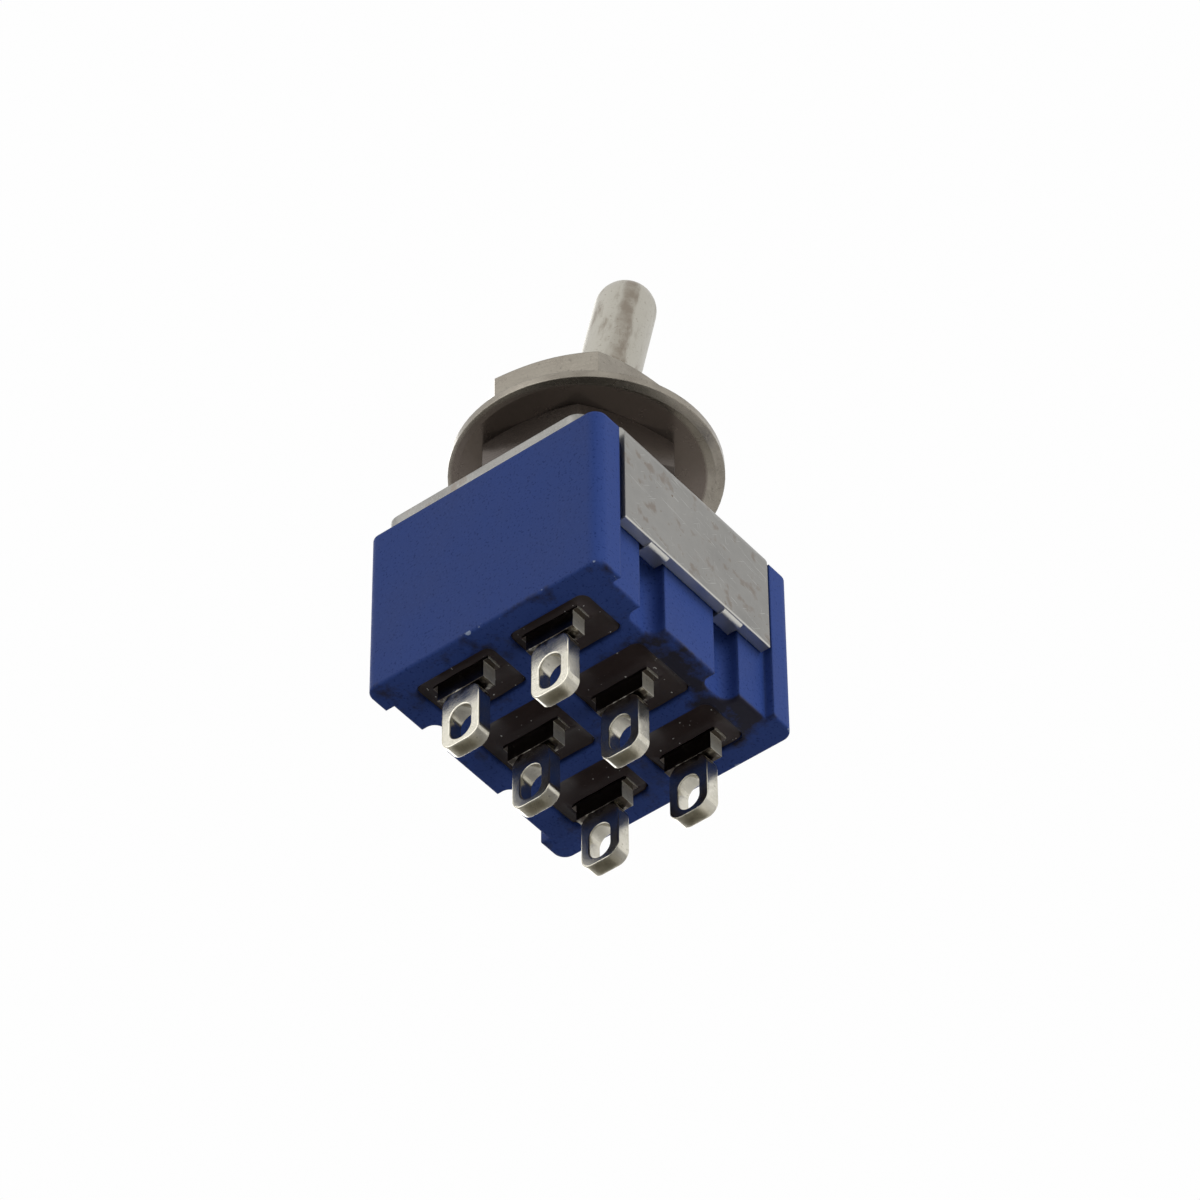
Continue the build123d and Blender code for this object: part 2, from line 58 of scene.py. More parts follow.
def stretched(tree, vector, size, turn=(0, 0, 0)):  # millimetres to one unit of pattern, degrees
    node = tree.nodes.new("ShaderNodeMapping")
    node.vector_type = "TEXTURE"
    node.inputs["Rotation"].default_value = [math.radians(angle) for angle in turn]
    node.inputs["Scale"].default_value = [length * mm for length in size]
    tree.links.new(vector, node.inputs["Vector"])
    return node.outputs["Vector"]


def mottle(tree, vector, detail=4, rough=0.55):
    node = tree.nodes.new("ShaderNodeTexNoise")
    node.inputs["Scale"].default_value = 1
    node.inputs["Detail"].default_value = detail
    node.inputs["Roughness"].default_value = rough
    tree.links.new(vector, node.inputs["Vector"])
    return node.outputs["Fac"]


def cloud(tree, vector, size, detail=4, rough=0.55):  # size in millimetres
    return mottle(tree, stretched(tree, vector, (size, size, size)), detail, rough)


def fade(tree, value, start, end):  # 0 at start, 1 at end, smooth between
    node = tree.nodes.new("ShaderNodeMapRange")
    node.interpolation_type = "SMOOTHSTEP"
    node.inputs["From Min"].default_value = start
    node.inputs["From Max"].default_value = end
    tree.links.new(value, node.inputs["Value"])
    return node.outputs["Result"]


def fadeOver(tree, value, reach):  # the same, with both ends in millimetres
    return fade(tree, value, reach[0] * mm, reach[1] * mm)


def spread(tree, value, low, high, start=0.3, end=0.7):  # low at start, high at end, straight between
    node = tree.nodes.new("ShaderNodeMapRange")
    node.inputs["From Min"].default_value = start
    node.inputs["From Max"].default_value = end
    node.inputs["To Min"].default_value = low
    node.inputs["To Max"].default_value = high
    tree.links.new(value, node.inputs["Value"])
    return node.outputs["Result"]


def calculate(tree, operation, *values):  # numbers or other nodes' outputs
    node = tree.nodes.new("ShaderNodeMath")
    node.operation = operation
    for socket, value in zip(node.inputs, values):
        if isinstance(value, (int, float)):
            socket.default_value = value
        else:
            tree.links.new(value, socket)
    return node.outputs[0]


def plus(tree, first, second):
    return calculate(tree, "ADD", first, second)


def minus(tree, first, second):
    return calculate(tree, "SUBTRACT", first, second)


def times(tree, first, second):
    return calculate(tree, "MULTIPLY", first, second)


def larger(tree, first, second):
    return calculate(tree, "MAXIMUM", first, second)


def unsigned(tree, value):
    return calculate(tree, "ABSOLUTE", value)


def centred(tree, pattern):  # so that it goes as far below nought as above
    return minus(tree, pattern, 0.5)


def axes(tree, vector):
    node = tree.nodes.new("ShaderNodeSeparateXYZ")
    tree.links.new(vector, node.inputs[0])
    return node.outputs["X"], node.outputs["Y"], node.outputs["Z"]


def paint(tree, factor, under, over):  # over shows where factor is 1
    node = tree.nodes.new("ShaderNodeMix")
    node.data_type = "RGBA"
    factorSocket, underSocket, overSocket = node.inputs[0], node.inputs[6], node.inputs[7]
    for socket, value in ((factorSocket, factor), (underSocket, under), (overSocket, over)):
        if isinstance(value, tuple):
            socket.default_value = (*value, 1)
        else:
            tree.links.new(value, socket)
    return node.outputs[2]


def relief(tree, shader, height, strength, depth, edge=0.0, samples=6):  # depth, edge in millimetres
    node = tree.nodes.new("ShaderNodeBump")
    node.inputs["Strength"].default_value = strength
    node.inputs["Distance"].default_value = depth * mm
    tree.links.new(height, node.inputs["Height"])
    if edge:
        rounding = tree.nodes.new("ShaderNodeBevel")
        rounding.samples = samples
        rounding.inputs["Radius"].default_value = edge * mm
        tree.links.new(rounding.outputs["Normal"], node.inputs["Normal"])
    tree.links.new(node.outputs["Normal"], shader.inputs["Normal"])


def scratches(tree, vector, turn, length, width, rarity, soft=0.03):
    pattern = mottle(tree, stretched(tree, vector, (length, width, width), turn), detail=1)
    return fade(tree, pattern, rarity, rarity + soft)


def dress(material, *names):
    for name in names:
        slots = nodes[name].data.materials
        slots.clear()
        slots.append(material)


def halfSize(name, axis):  # of a piece that is centred, in metres
    return max(vertex.co[axis] for vertex in nodes[name].data.vertices)


# Sizes and heights of a finish are in millimetres. A pair for specks, stains, nicks, pits and
# the like gives the pattern's values at which they start and are full.
base = {
    "colour": (0.020, 0.043, 0.170),
    "paleColour": (0.026, 0.053, 0.200),
    "deepColour": (0.009, 0.026, 0.125),
    "roughness": (0.50, 0.62),
    "specular": 0.10,
    "edge": 0.18,  # rounding of the moulded edges
    "shadeSize": 4,
    "speckSize": 0.12,
    "paleSpecks": (0.56, 0.70),
    "deepSpecks": (0.42, 0.30),
    "speckStrength": 0.3,
    "speckDepth": 0.012,
    "resinColour": (0.012, 0.009, 0.008),
    "smearHeight": (4.30, 4.04),  # resin is smeared on the walls below this
    "smearAndShadeMore": 0.22,  # added to the pattern along the front rim: more resin smear there, and painted shade along the rim's underside
    "smearAndShadeFront": (-3.0, -4.6),  # from none of that to all of it along Y, then along X
    "smearAndShadeLeft": (-3.2, -1.0),
    "smearAndShadeRight": (6.2, 4.6),
    "smearSize": 1.5,
    "smears": (0.55, 0.74),
    "smearCover": 0.92,
    "smearGloss": 0.2,
    "nickColour": (0.25, 0.30, 0.42),
    "nickHeight": (4.22, 4.10),  # nicks show along the lower outer edges
    "nickRim": (0.965, 0.985),  # as a part of the way from the middle to the wall
    "nickSize": 0.5,
    "nicks": (0.64, 0.70),
}


def makeBluePlastic():
    material, tree, shader = newMaterial("blueMouldedPlastic")
    point = objectPoint(tree)
    x, y, z = axes(tree, point)
    shade = cloud(tree, point, base["shadeSize"], detail=5)
    speck = cloud(tree, point, base["speckSize"], detail=2)
    colour = paint(tree, spread(tree, shade, 0, 1), base["colour"], base["paleColour"])
    colour = paint(tree, fade(tree, speck, *base["paleSpecks"]), colour, base["paleColour"])
    colour = paint(tree, fade(tree, speck, *base["deepSpecks"]), colour, base["deepColour"])
    front = fadeOver(tree, y, base["smearAndShadeFront"])
    front = times(tree, front, fadeOver(tree, x, base["smearAndShadeLeft"]))
    front = times(tree, front, fadeOver(tree, x, base["smearAndShadeRight"]))
    blot = cloud(tree, point, base["smearSize"], detail=5, rough=0.65)
    # partly painted shade: the front rim is painted darker than the resin smears alone
    blot = plus(tree, blot, times(tree, front, base["smearAndShadeMore"]))
    blot = spread(tree, blot, 0, base["smearCover"], *base["smears"])
    smear = times(tree, fadeOver(tree, z, base["smearHeight"]), blot)
    colour = paint(tree, smear, colour, base["resinColour"])
    outward = larger(tree, times(tree, unsigned(tree, x), 1 / halfSize("base_housing", 0)),
                     times(tree, unsigned(tree, y), 1 / halfSize("base_housing", 1)))
    rim = times(tree, fadeOver(tree, z, base["nickHeight"]), fade(tree, outward, *base["nickRim"]))
    nick = fade(tree, cloud(tree, point, base["nickSize"], detail=3), *base["nicks"])
    colour = paint(tree, times(tree, rim, nick), colour, base["nickColour"])
    tree.links.new(colour, shader.inputs["Base Color"])
    rough = minus(tree, spread(tree, shade, *base["roughness"]), times(tree, smear, base["smearGloss"]))
    tree.links.new(rough, shader.inputs["Roughness"])
    shader.inputs["Specular IOR Level"].default_value = base["specular"]
    relief(tree, shader, speck, base["speckStrength"], base["speckDepth"], base["edge"])
    return material


dress(makeBluePlastic(), "base_housing")

sheet = {
    "colour": (0.290, 0.284, 0.268),
    "darkColour": (0.212, 0.207, 0.195),
    "smudgeColour": (0.16, 0.12, 0.09),
    "scratchColour": (0.37, 0.37, 0.352),
    "roughness": (0.30, 0.42),
    "edge": 0.06,
    "shadeSize": 1.8,
    "grainSize": 0.10,
    "grainStrength": 0.25,
    "grainDepth": 0.006,
    "scratches": (  # turn, length, width, rarity
        ((0, 12, 0), 1.8, 0.06, 0.69),
        ((0, -38, 0), 1.1, 0.05, 0.70),
        ((0, 78, 0), 0.9, 0.05, 0.71),
    ),
    "stainSize": 0.9,
    "stains": (0.55, 0.68),
    "stainStrength": 0.6,
    "pitSize": 0.22,
    "pits": (0.72, 0.76),
    "tabHighlightColour": (0.55, 0.54, 0.50),  # painted highlight: the tabs are painted bright where they were bent, standing in for the light their bends catch
    "tabHighlightHeight": (8.02, 7.87),
}


def makeSheetSteel():
    material, tree, shader = newMaterial("zincPlatedSheet")
    point = objectPoint(tree)
    height = axes(tree, point)[2]
    shade = cloud(tree, point, sheet["shadeSize"], detail=6, rough=0.6)
    grain = cloud(tree, point, sheet["grainSize"], detail=3)
    colour = paint(tree, spread(tree, shade, 0, 1), sheet["darkColour"], sheet["colour"])
    for scratch in sheet["scratches"]:
        colour = paint(tree, scratches(tree, point, *scratch), colour, sheet["scratchColour"])
    stainAndShade = fade(tree, cloud(tree, point, sheet["stainSize"]), *sheet["stains"])
    colour = paint(tree, times(tree, stainAndShade, sheet["stainStrength"]), colour, sheet["smudgeColour"])
    pits = fade(tree, cloud(tree, point, sheet["pitSize"], detail=2), *sheet["pits"])
    colour = paint(tree, pits, colour, sheet["smudgeColour"])
    # painted highlight on the bent tabs
    colour = paint(tree, fadeOver(tree, height, sheet["tabHighlightHeight"]), colour, sheet["tabHighlightColour"])
    tree.links.new(colour, shader.inputs["Base Color"])
    tree.links.new(spread(tree, shade, *sheet["roughness"]), shader.inputs["Roughness"])
    shader.inputs["Metallic"].default_value = 1
    relief(tree, shader, grain, sheet["grainStrength"], sheet["grainDepth"], sheet["edge"])
    return material


dress(makeSheetSteel(), "frame_bracket")

nickel = {
    "colour": (0.325, 0.297, 0.25),
    "darkColour": (0.225, 0.202, 0.170),
    "roughness": (0.18, 0.30),
    "edge": 0.06,
    "patchSize": 1.2,
    "grainSize": 0.07,
    "scratches": (  # turn, length, width, rarity
        ((0, 0, 25), 1.5, 0.05, 0.67),
        ((0, 0, -60), 1.2, 0.05, 0.68),
    ),
    "lineSize": (1.6, 1.6, 0.06),  # fine turned lines round the piece
    "lines": (0.35, 0.6),
    "lineStrength": 0.35,
    "reliefStrength": 0.3,
    "reliefDepth": 0.005,
    "dirtSize": 0.16,
    "dirt": (0.60, 0.72),
    "dirtStrength": 0.55,
    "dirtShade": 0.55,  # of the dark colour
}


def makeNickel(name, finish=nickel):  # a finish says only what differs from the nickel
    look = {**nickel, **finish}
    material, tree, shader = newMaterial(name)
    point = objectPoint(tree)
    patch = cloud(tree, point, look["patchSize"], detail=6, rough=0.6)
    grain = cloud(tree, point, look["grainSize"], detail=3)
    lines = mottle(tree, stretched(tree, point, look["lineSize"]), detail=3)
    tint = paint(tree, spread(tree, patch, 0, 1), look["darkColour"], look["colour"])
    for scratch in look["scratches"]:
        tint = paint(tree, scratches(tree, point, *scratch), tint, look["colour"])
    shadow = spread(tree, lines, look["lineStrength"], 0, *look["lines"])
    tint = paint(tree, shadow, tint, look["darkColour"])
    dirt = fade(tree, cloud(tree, point, look["dirtSize"], detail=3), *look["dirt"])
    dirtColour = tuple(part * look["dirtShade"] for part in look["darkColour"])
    tint = paint(tree, times(tree, dirt, look["dirtStrength"]), tint, dirtColour)
    tree.links.new(tint, shader.inputs["Base Color"])
    smoothest, roughest = look["roughness"]
    tree.links.new(spread(tree, patch, roughest, smoothest), shader.inputs["Roughness"])
    shader.inputs["Metallic"].default_value = 1
    height = plus(tree, grain, lines)
    relief(tree, shader, height, look["reliefStrength"], look["reliefDepth"], look["edge"])
    return material, tree, shader, tint


dress(makeNickel("dullNickel")[0], "upper_nut", "lock_washer")

underWasherShade = {
    "washerColour": (0.155, 0.125, 0.104),
    "nutColour": (0.085, 0.070, 0.060),
    "height": (18.8, 18.6),  # painted shade below this
    "reach": (5.75, 5.55),  # from the bushing's axis, so the washer's rim gets no painted shade
    "metallic": 0.60,
}


def makeUnderWasherShadedNickel(name, paintedShadeColour):  # painted shade and dark reflection: brown-dark under the panel washer
    material, tree, shader, tint = makeNickel(name)
    x, y, z = axes(tree, objectPoint(tree))
    distance = calculate(tree, "SQRT", plus(tree, times(tree, x, x), times(tree, y, y)))
    # painted shade and dark reflection: darker below the washer and inside its rim
    stainAndShade = times(tree, fadeOver(tree, z, underWasherShade["height"]), fadeOver(tree, distance, underWasherShade["reach"]))
    tree.links.new(paint(tree, stainAndShade, tint, paintedShadeColour), shader.inputs["Base Color"])
    tree.links.new(spread(tree, stainAndShade, 1, underWasherShade["metallic"], start=0, end=1), shader.inputs["Metallic"])
    return material


dress(makeUnderWasherShadedNickel("shadedWasher", underWasherShade["washerColour"]), "keyed_washer")
dress(makeUnderWasherShadedNickel("shadedThread", underWasherShade["nutColour"]), "lower_nut", "threaded_bushing")

lever = {
    "colour": (0.44, 0.42, 0.366),
    "wornAndStreakColour": (0.22, 0.185, 0.145),
    "roughness": (0.34, 0.46),
    "lean": 13.5,  # degrees
    "grainSize": 0.06,
    "grainStrength": 0.25,
    "grainDepth": 0.005,
    "wearSize": (0.9, 0.9, 4.0),  # drawn out along the lever
    "wear": (0.54, 0.72),
    "streakTurn": 220.5,  # degrees round the lever
    "streakShift": (-3.16, -2.70, 0),
    "streakWander": 1.6,
    "streakWidth": (0.50, 0.10),
    "streakSide": (0.2, 0.8),  # out from the middle, so that only one side has it
    "streakStrength": 0.9,
    "breakSize": 0.9,  # of the weaker stretches along the streak
    "breaks": (0.35, 0.6),
    "breakStrength": 0.35,
    "pitSize": 0.14,
    "pits": (0.58, 0.80),
}


def makeLeverPlate():
    material, tree, shader = newMaterial("streakedWornLeverNickel")
    point = objectPoint(tree)
    drawnOut = stretched(tree, point, lever["wearSize"], turn=(0, lever["lean"], 0))
    wear = mottle(tree, drawnOut, detail=5, rough=0.6)
    upright = tree.nodes.new("ShaderNodeMapping")  # turned to stand along the lever
    turn = (0, -lever["lean"], lever["streakTurn"])
    upright.inputs["Rotation"].default_value = [math.radians(angle) for angle in turn]
    upright.inputs["Location"].default_value = [length * mm for length in lever["streakShift"]]
    tree.links.new(point, upright.inputs["Vector"])
    side, out = axes(tree, upright.outputs["Vector"])[:2]
    wander = times(tree, centred(tree, wear), lever["streakWander"] * mm)
    streak = fadeOver(tree, unsigned(tree, plus(tree, side, wander)), lever["streakWidth"])
    streak = times(tree, streak, fadeOver(tree, out, lever["streakSide"]))
    breaks = cloud(tree, point, lever["breakSize"], detail=5)
    streak = times(tree, streak, spread(tree, breaks, lever["breakStrength"], 1, *lever["breaks"]))
    # the streak down one side is partly tarnish and partly a painted dark reflection; the mottled wear
    # is the metal's own
    wornAndStreak = larger(tree, times(tree, streak, lever["streakStrength"]), fade(tree, wear, *lever["wear"]))
    colour = paint(tree, wornAndStreak, lever["colour"], lever["wornAndStreakColour"])
    pits = fade(tree, cloud(tree, point, lever["pitSize"], detail=3), *lever["pits"])
    colour = paint(tree, pits, colour, lever["wornAndStreakColour"])
    tree.links.new(colour, shader.inputs["Base Color"])
    tree.links.new(spread(tree, wear, *lever["roughness"]), shader.inputs["Roughness"])
    shader.inputs["Metallic"].default_value = 1
    grain = cloud(tree, point, lever["grainSize"], detail=3)
    relief(tree, shader, grain, lever["grainStrength"], lever["grainDepth"])
    return material


dress(makeLeverPlate(), "toggle_lever")

lug = {
    "colour": (0.72, 0.69, 0.60),
    "darkColour": (0.50, 0.475, 0.40),
    "roughness": (0.14, 0.26),
    "edge": 0.05,
    "patchSize": 0.8,
    "smoothSize": 0.8,
    "stemShadeColour": (0.035, 0.026, 0.022),
    "stemShadeHeight": (2.75, 3.15),  # painted shade: the stems are painted dark from here up, as in the shade under the base
    "stemShadeRagged": 1.2,  # how far its border wanders
    "raggedSize": 0.35,
    "stemShadeOnSheared": 0.10,  # the painted shade is light on the sheared narrow sides
    "stemShadeOnFlat": 0.95,
    "shearedFacing": (-0.9, -0.6),  # the front component of a face's direction
    "shearedHeight": (2.6, 3.0),
    "shearedRoughness": 0.35,
}


def makeTinnedLug():
    material, tree, shader, tint = makeNickel("tinnedLug", lug)
    point = objectPoint(tree)
    height = axes(tree, point)[2]
    facing = axes(tree, tree.nodes.new("ShaderNodeTexCoord").outputs["Normal"])[1]
    wander = centred(tree, cloud(tree, point, lug["raggedSize"], detail=3))
    ragged = plus(tree, height, times(tree, wander, lug["stemShadeRagged"] * mm))
    flat = fade(tree, facing, *lug["shearedFacing"])
    # painted shade and dark reflection on the stems' flat faces near the base
    stemShade = times(tree, fadeOver(tree, ragged, lug["stemShadeHeight"]),
                 spread(tree, flat, lug["stemShadeOnSheared"], lug["stemShadeOnFlat"], start=0, end=1))
    tree.links.new(paint(tree, stemShade, tint, lug["stemShadeColour"]), shader.inputs["Base Color"])
    sheared = fade(tree, facing, *reversed(lug["shearedFacing"]))
    sheared = times(tree, sheared, fadeOver(tree, height, lug["shearedHeight"]))
    smoothest, roughest = lug["roughness"]
    rough = spread(tree, cloud(tree, point, lug["smoothSize"]), roughest, smoothest)
    rough = plus(tree, rough, times(tree, sheared, lug["shearedRoughness"]))
    tree.links.new(rough, shader.inputs["Roughness"])
    return material


terminals = [name for name in nodes if name.endswith("_terminal")]
dress(makeTinnedLug(), *terminals)

inside = {
    "silver": {
        "colour": (0.86, 0.85, 0.83),
        "darkColour": (0.70, 0.69, 0.67),
    },
    "rocker": {
        "colour": (0.72, 0.62, 0.48),
        "darkColour": (0.58, 0.49, 0.37),
        "roughness": (0.22, 0.34),
    },
    "brass": {
        "colour": (0.74, 0.58, 0.30),
        "darkColour": (0.60, 0.46, 0.22),
    },
    "spring": {
        "colour": (0.52, 0.52, 0.51),
        "darkColour": (0.40, 0.40, 0.40),
        "roughness": (0.22, 0.34),
    },
}
contacts = [name for name in nodes if name.endswith("_contact")]
dress(makeNickel("contactSilver", inside["silver"])[0], *contacts)
dress(makeNickel("rockerAlloy", inside["rocker"])[0], "front_rocker", "rear_rocker")
dress(makeNickel("turnedBrass", inside["brass"])[0], "front_plunger", "rear_plunger")
dress(makeNickel("springSteel", inside["spring"])[0], "front_plunger_spring", "rear_plunger_spring")

epoxy = {
    "colour": (0.030, 0.020, 0.019),
    "speckColour": (0.5, 0.5, 0.48),
    "roughness": 0.34,
}
nylon = {
    "colour": (0.78, 0.76, 0.70),
    "speckColour": (0.7, 0.68, 0.62),
    "roughness": 0.5,
}
plain = {  # what both have alike
    "specular": 0.2,
    "shadeSize": 1.2,
    "darkest": 0.75,  # of the colour
    "speckSize": 0.18,
    "specks": (0.74, 0.77),
    "waveSize": 0.5,
    "waveStrength": 0.4,
    "waveDepth": 0.03,
}


def makePlain(name, finish):
    material, tree, shader = newMaterial(name)
    point = objectPoint(tree)
    darkColour = tuple(part * plain["darkest"] for part in finish["colour"])
    shade = cloud(tree, point, plain["shadeSize"], detail=5)
    tint = paint(tree, spread(tree, shade, 0, 1), darkColour, finish["colour"])
    specks = fade(tree, cloud(tree, point, plain["speckSize"], detail=1), *plain["specks"])
    tree.links.new(paint(tree, specks, tint, finish["speckColour"]), shader.inputs["Base Color"])
    shader.inputs["Roughness"].default_value = finish["roughness"]
    shader.inputs["Specular IOR Level"].default_value = plain["specular"]
    waves = cloud(tree, point, plain["waveSize"], detail=3)
    relief(tree, shader, waves, plain["waveStrength"], plain["waveDepth"])
    return material


dress(makePlain("pottingEpoxy", epoxy), "potting_resin")
dress(makePlain("nylon", nylon), "actuator_block")
print("materials done")

mergeWithin = 0.00002  # millimetres, for a CAD mesh's loose triangles


def copyNode(node, name):  # a merged copy of a CAD piece, to be worked on
    bpy.ops.object.select_all(action="DESELECT")
    piece = nodes[node].copy()
    piece.data = nodes[node].data.copy()
    piece.name = name
    bpy.context.scene.collection.objects.link(piece)
    bpy.context.view_layer.objects.active = piece
    piece.select_set(True)
    bpy.ops.object.mode_set(mode="EDIT")
    bpy.ops.mesh.select_all(action="SELECT")
    bpy.ops.mesh.remove_doubles(threshold=mergeWithin * mm)
    bpy.ops.object.mode_set(mode="OBJECT")
    return piece


def useModifier(piece, kind, **settings):
    modifier = piece.modifiers.new(kind.lower(), kind)
    for key, value in settings.items():
        setattr(modifier, key, value)
    bpy.context.view_layer.objects.active = piece
    bpy.ops.object.modifier_apply(modifier=modifier.name)


def handIn(piece, node, body="switch_body", sharpAngle=35):  # degrees
    bpy.ops.object.select_all(action="DESELECT")
    piece.select_set(True)
    bpy.context.view_layer.objects.active = piece
    bpy.ops.object.shade_smooth_by_angle(angle=math.radians(sharpAngle))
    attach(piece, body)
    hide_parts(node)


thread = {  # lengths in millimetres
    "radius": 3.0,
    "pitch": 0.75,
    "depth": 0.30,
    "halfWidth": 0.27,  # of the groove, at the bushing's surface
    "beyond": 0.1,  # the cutter stands out of the bushing
    "start": 14.2,  # height of the lowest turn
    "turns": 13,
    "steps": 48,  # to a turn
    "sharpAngle": 30,
}


def makeThreadedBushing():
    bpy.ops.object.select_all(action="DESELECT")
    bpy.ops.mesh.primitive_circle_add(vertices=3, radius=mm, fill_type="NOTHING", location=(0, 0, 0))
    cutter = bpy.context.object  # a triangle, which becomes the groove's section
    inner = thread["radius"] - thread["depth"]
    outer = thread["radius"] + thread["beyond"]
    half = thread["halfWidth"] * (1 + thread["beyond"] / thread["depth"])
    corners = ((inner, 0), (outer, half), (outer, -half))
    for vertex, (radius, height) in zip(cutter.data.vertices, corners):
        vertex.co = (radius * mm, 0, (thread["start"] + height) * mm)
    useModifier(cutter, "SCREW", screw_offset=thread["pitch"] * mm, iterations=thread["turns"],
                steps=thread["steps"], render_steps=thread["steps"])
    bpy.ops.object.mode_set(mode="EDIT")
    bpy.ops.mesh.select_all(action="SELECT")
    bpy.ops.mesh.fill_holes(sides=0)
    bpy.ops.mesh.normals_make_consistent(inside=False)
    bpy.ops.object.mode_set(mode="OBJECT")
    piece = copyNode("threaded_bushing", "cutThreadBushing")
    useModifier(piece, "BOOLEAN", operation="DIFFERENCE", solver="EXACT", object=cutter)
    bpy.data.objects.remove(cutter)
    handIn(piece, "threaded_bushing", sharpAngle=thread["sharpAngle"])


makeThreadedBushing()

potting = {  # lengths in millimetres
    "surface": 4.35,  # height of the flat resin
    "surfaceDepth": 0.12,  # what lies higher than this above it isn't moved
    "voxel": 0.08,
    "wallClimb": 0.17,  # the resin creeps this far along the pocket's walls
    "wallReach": 0.22,
    "stemClimb": 0.24,  # and along the terminals
    "stemReach": 0.20,
    "waves": 0.07,
    "wavesPerMm": 0.9,
    "waveSlice": 3.1,  # another number gives other waves
    "waveLift": 0.2,
    "lowest": -0.05,
    "pitch": 4.7,
    "rows": 4.8,
    "stem": (0.78, 3.0),
    "sharpAngle": 60,
}


def islands(piece):  # lists of vertices that hang together
    owner = list(range(len(piece.data.vertices)))

    def root(i):
        while owner[i] != i:
            owner[i] = owner[owner[i]]
            i = owner[i]
        return i

    for edge in piece.data.edges:
        first, second = (root(i) for i in edge.vertices)
        if first != second:
            owner[second] = first
    groups = {}
    for i in range(len(owner)):
        groups.setdefault(root(i), []).append(i)
    return groups.values()


def resinRise(wall, stem, x, y):  # from the distances to the pocket's wall and to the terminal
    spot = Vector((x * potting["wavesPerMm"], y * potting["wavesPerMm"], potting["waveSlice"]))
    rise = potting["wallClimb"] * math.exp(-max(wall, 0) / potting["wallReach"])
    rise += potting["stemClimb"] * math.exp(-stem / potting["stemReach"])
    rise += potting["waves"] * (noise.noise(spot) + potting["waveLift"])
    return max(rise, potting["lowest"])


def makePottingResin():
    piece = copyNode("potting_resin", "pouredResin")
    useModifier(piece, "REMESH", mode="VOXEL", voxel_size=potting["voxel"] * mm, adaptivity=0)
    halfX, halfY = (size / 2 for size in potting["stem"])
    vertices = piece.data.vertices
    for group in islands(piece):
        points = [vertices[i].co / mm for i in group]
        lowX, highX = min(p.x for p in points), max(p.x for p in points)
        lowY, highY = min(p.y for p in points), max(p.y for p in points)
        stemX = round((lowX + highX) / 2 / potting["pitch"]) * potting["pitch"]
        stemY = math.copysign(potting["rows"] / 2, lowY + highY)
        for i, p in zip(group, points):
            if p.z > potting["surface"] + potting["surfaceDepth"]:
                continue
            wall = min(p.x - lowX, highX - p.x, p.y - lowY, highY - p.y)
            stem = math.hypot(max(abs(p.x - stemX) - halfX, 0), max(abs(p.y - stemY) - halfY, 0))
            vertices[i].co.z = (p.z - resinRise(wall, stem, p.x, p.y)) * mm
    handIn(piece, "potting_resin", sharpAngle=potting["sharpAngle"])


makePottingResin()
print("thread and resin done")


def makePlungerSpring(pole):  # a copy of the spring, carried with the lever; the real spring shortens as its plunger is pushed in
    piece = copyNode(f"{pole}_plunger_spring", f"{pole}CoilSpring")
    handIn(piece, f"{pole}_plunger_spring", body="lever")
    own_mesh(piece)


for pole in ("front", "rear"):
    makePlungerSpring(pole)
print("springs done")

stage = {  # lengths in metres
    "floorSize": 1.6,
    "floorHeight": -0.00005,
    "floorColour": (0.90, 0.90, 0.90),
    "backgroundColour": (0.99, 0.99, 0.99),
    "ambient": 0.22,  # the background's strength as a light
    "lampTarget": (0, 0, 0.012),
    "lamps": {  # direction it comes from, distance, size, power, whether metal mirrors it
        "keyLamp": ((0.10, -1.0, 0.75), 1.0, 1.0, 9.8, False),
        "sideLamp": ((-1.0, 0.30, 0.20), 1.0, 1.4, 6.6, True),
        "lowLamp": ((0.0, -0.8, -1.0), 0.9, 0.5, 1.8, True),
        "backLamp": ((0.7, 1.0, 0.6), 0.9, 1.0, 4.0, True),
    },
    "cameraPlace": (-0.15183, -0.11968, -0.18392),
    "cameraRight": (0.62084, -0.78390, -0.00683),
    "cameraDown": (0.55343, 0.44445, -0.70440),
    "cameraAhead": (0.55522, 0.43354, 0.70977),
    "lens": 190.46,
    "sensorWidth": 36,
    "clip": (0.01, 20),
}


def seenRay(tree):  # 1 for rays from the camera, mirrored ones and those through clear stuff
    path = tree.nodes.new("ShaderNodeLightPath")
    mirrored = larger(tree, path.outputs["Is Camera Ray"], path.outputs["Is Glossy Ray"])
    return larger(tree, mirrored, path.outputs["Is Transmission Ray"])


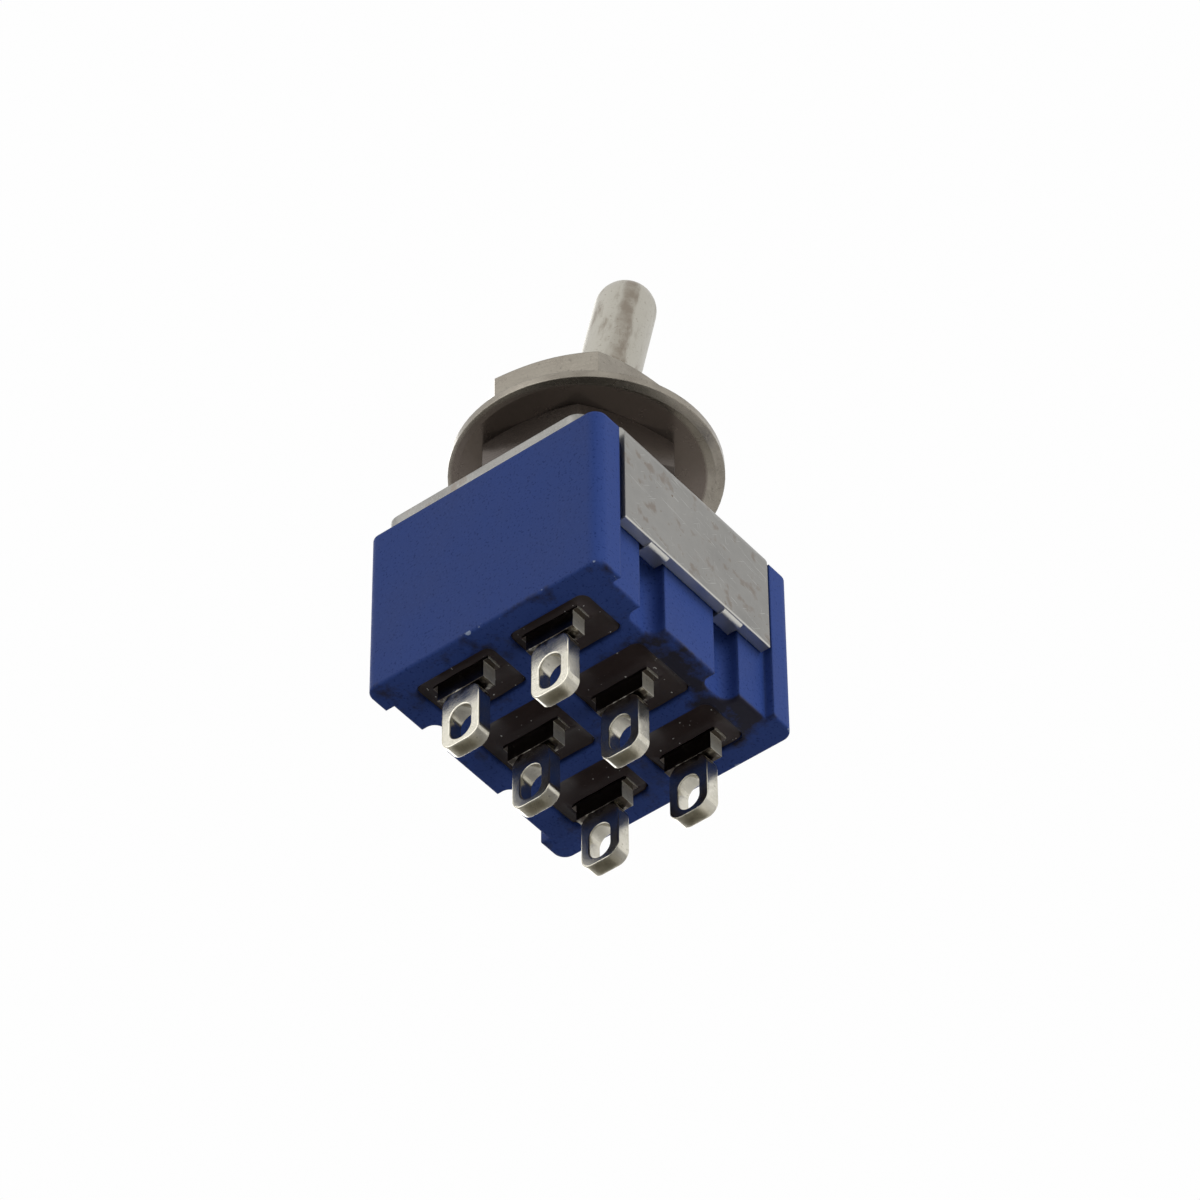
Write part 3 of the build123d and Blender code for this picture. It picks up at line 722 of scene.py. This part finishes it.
def makeFloor():  # clear from below and for the lamps' light
    bpy.ops.object.select_all(action="DESELECT")
    bpy.ops.mesh.primitive_plane_add(size=stage["floorSize"], location=(0, 0, stage["floorHeight"]))
    floor = bpy.context.object
    floor.name = "floor"
    material = bpy.data.materials.new("paleFloor")
    material.use_nodes = True
    tree = material.node_tree
    tree.nodes.clear()
    output = tree.nodes.new("ShaderNodeOutputMaterial")
    diffuse = tree.nodes.new("ShaderNodeBsdfDiffuse")
    diffuse.inputs["Color"].default_value = (*stage["floorColour"], 1)
    clear = tree.nodes.new("ShaderNodeBsdfTransparent")
    geometry = tree.nodes.new("ShaderNodeNewGeometry")
    front = minus(tree, 1, geometry.outputs["Backfacing"])
    shader = tree.nodes.new("ShaderNodeMixShader")
    tree.links.new(times(tree, seenRay(tree), front), shader.inputs[0])
    tree.links.new(clear.outputs[0], shader.inputs[1])
    tree.links.new(diffuse.outputs[0], shader.inputs[2])
    tree.links.new(shader.outputs[0], output.inputs["Surface"])
    floor.data.materials.append(material)


def makeWorld():
    world = bpy.data.worlds.new("studio")
    bpy.context.scene.world = world
    world.use_nodes = True
    tree = world.node_tree
    tree.nodes.clear()
    output = tree.nodes.new("ShaderNodeOutputWorld")
    background = tree.nodes.new("ShaderNodeBackground")
    background.inputs["Color"].default_value = (*stage["backgroundColour"], 1)
    strength = spread(tree, seenRay(tree), stage["ambient"], 1, start=0, end=1)
    tree.links.new(strength, background.inputs["Strength"])
    tree.links.new(background.outputs[0], output.inputs["Surface"])


def makeLamps():
    target = Vector(stage["lampTarget"])
    for name, (direction, distance, size, power, mirrored) in stage["lamps"].items():
        place = target + Vector(direction).normalized() * distance
        bpy.ops.object.select_all(action="DESELECT")
        bpy.ops.object.light_add(type="AREA", location=place)
        lamp = bpy.context.object
        lamp.name = name
        lamp.rotation_euler = (target - place).to_track_quat("-Z", "Y").to_euler()
        lamp.data.shape = "DISK"
        lamp.data.size = size
        lamp.data.energy = power
        lamp.visible_glossy = mirrored


def makeCamera():
    right, down, ahead = (Vector(stage[key]) for key in ("cameraRight", "cameraDown", "cameraAhead"))
    data = bpy.data.cameras.new("camera")
    camera = bpy.data.objects.new("camera", data)
    bpy.context.scene.collection.objects.link(camera)
    turn = Matrix((right, -down, -ahead)).transposed()
    camera.matrix_world = Matrix.Translation(stage["cameraPlace"]) @ turn.to_4x4()
    data.sensor_width = stage["sensorWidth"]
    data.lens = stage["lens"]
    data.clip_start, data.clip_end = stage["clip"]
    bpy.context.scene.camera = camera


makeFloor()
makeWorld()
makeLamps()
makeCamera()
bpy.context.scene.view_settings.view_transform = "Standard"
print("stage done")
